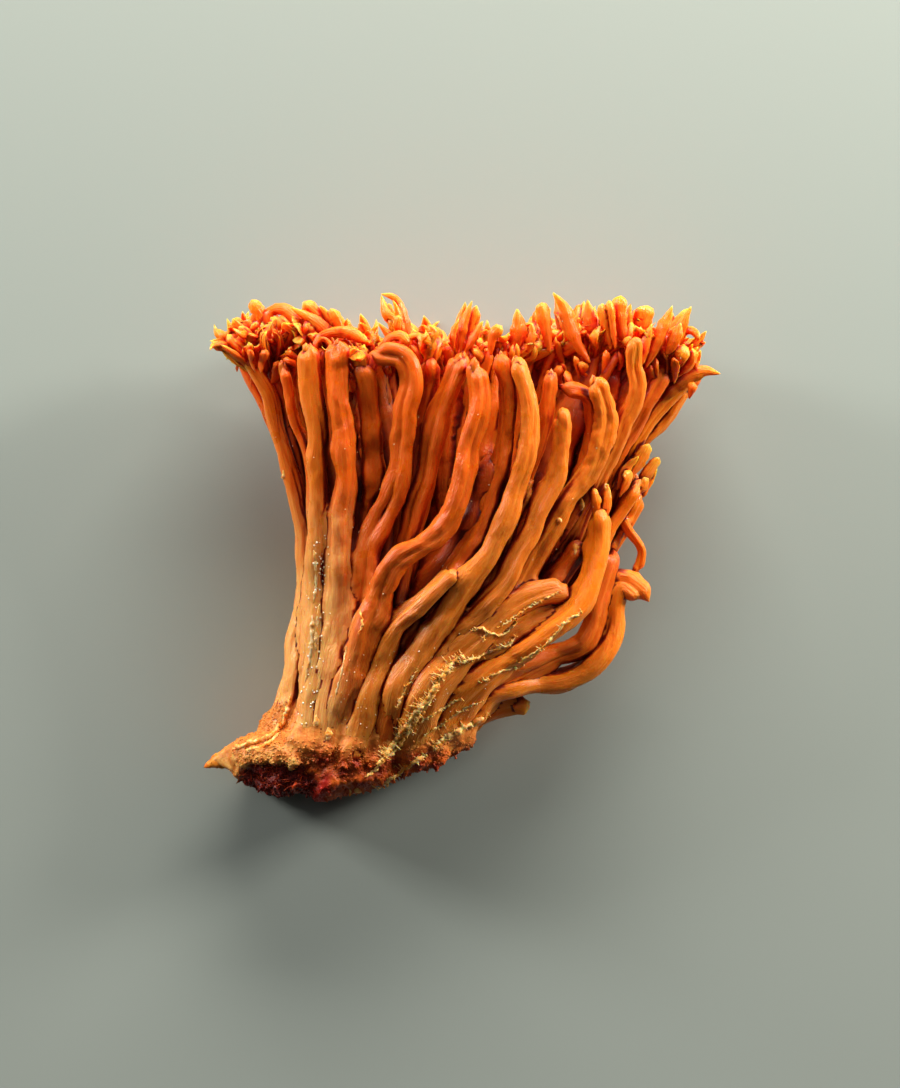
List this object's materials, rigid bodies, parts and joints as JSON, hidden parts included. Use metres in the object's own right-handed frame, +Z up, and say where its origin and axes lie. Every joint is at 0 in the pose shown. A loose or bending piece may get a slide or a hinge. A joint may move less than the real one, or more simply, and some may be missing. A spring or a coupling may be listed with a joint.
{
  "type": "cordyceps bunch",
  "caption": "Picked bunch of orange cordyceps lying on its back: slender stems fan out of one crumbly foot to a frilly crown of forked fingertips.",
  "frame": {"origin": "on the surface that the bunch lies on, under the centre of its bounding box", "axes": "+X to the right, +Y from the foot to the crown, +Z up, from the surface through the bunch"},
  "size_m": [0.0864, 0.0848, 0.0335],
  "materials": {
    "orange_flesh": "satin, waxy, slightly moist orange-tan flesh with fine ridges along the stem",
    "golden_flesh": "satin golden orange flesh that light shines through",
    "pale_flesh": "satin cream to tan flesh with fine fibres",
    "shaded_flesh": "satin deep red-orange flesh",
    "foot_crust": "rough, crumbly, dark red-brown crust with fibres"
  },
  "bodies": {
    "root": {"foot": "foot_crust", "side_drop": "golden_flesh", "side_shoot": "golden_flesh", "stem_arch": "orange_flesh", "stem_back_01": "orange_flesh", "stem_back_02": "orange_flesh", "stem_back_03": "orange_flesh", "stem_back_04": "orange_flesh", "stem_back_05": "orange_flesh", "stem_back_06": "orange_flesh", "stem_back_07": "orange_flesh", "stem_back_08": "orange_flesh", "stem_big_loop": "golden_flesh", "stem_bright": "pale_flesh", "stem_bright_short": "pale_flesh", "stem_broad_top": "orange_flesh", "stem_crossing": "orange_flesh", "stem_crown_01": "orange_flesh", "stem_crown_02": "orange_flesh", "stem_crown_03": "orange_flesh", "stem_crown_04": "orange_flesh", "stem_crown_05": "orange_flesh", "stem_crown_06": "orange_flesh", "stem_crown_07": "orange_flesh", "stem_crown_08": "orange_flesh", "stem_crown_09": "orange_flesh", "stem_crown_10": "orange_flesh", "stem_crown_11": "orange_flesh", "stem_crown_12": "orange_flesh", "stem_crown_13": "orange_flesh", "stem_crown_14": "orange_flesh", "stem_crown_15": "orange_flesh", "stem_dark_middle": "shaded_flesh", "stem_forked_top": "golden_flesh", "stem_hidden_right": "shaded_flesh", "stem_hidden_stub": "orange_flesh", "stem_hook_left": "orange_flesh", "stem_knob": "orange_flesh", "stem_left_bold": "pale_flesh", "stem_left_outer": "pale_flesh", "stem_left_second": "orange_flesh", "stem_left_short": "orange_flesh", "stem_left_straight": "orange_flesh", "stem_left_thin": "pale_flesh", "stem_lobe_lower": "pale_flesh", "stem_lobe_upper": "pale_flesh", "stem_middle_left": "orange_flesh", "stem_pale_left": "orange_flesh", "stem_pale_right": "pale_flesh", "stem_pale_stub": "pale_flesh", "stem_pale_tongue": "pale_flesh", "stem_right_bold": "pale_flesh", "stem_right_horn": "golden_flesh", "stem_right_knob": "orange_flesh", "stem_right_outer": "golden_flesh", "stem_tier_inner": "golden_flesh", "stem_tier_outer": "golden_flesh", "stem_twin_tip": "orange_flesh", "stem_under_loop": "orange_flesh"}
  },
  "joints": []
}
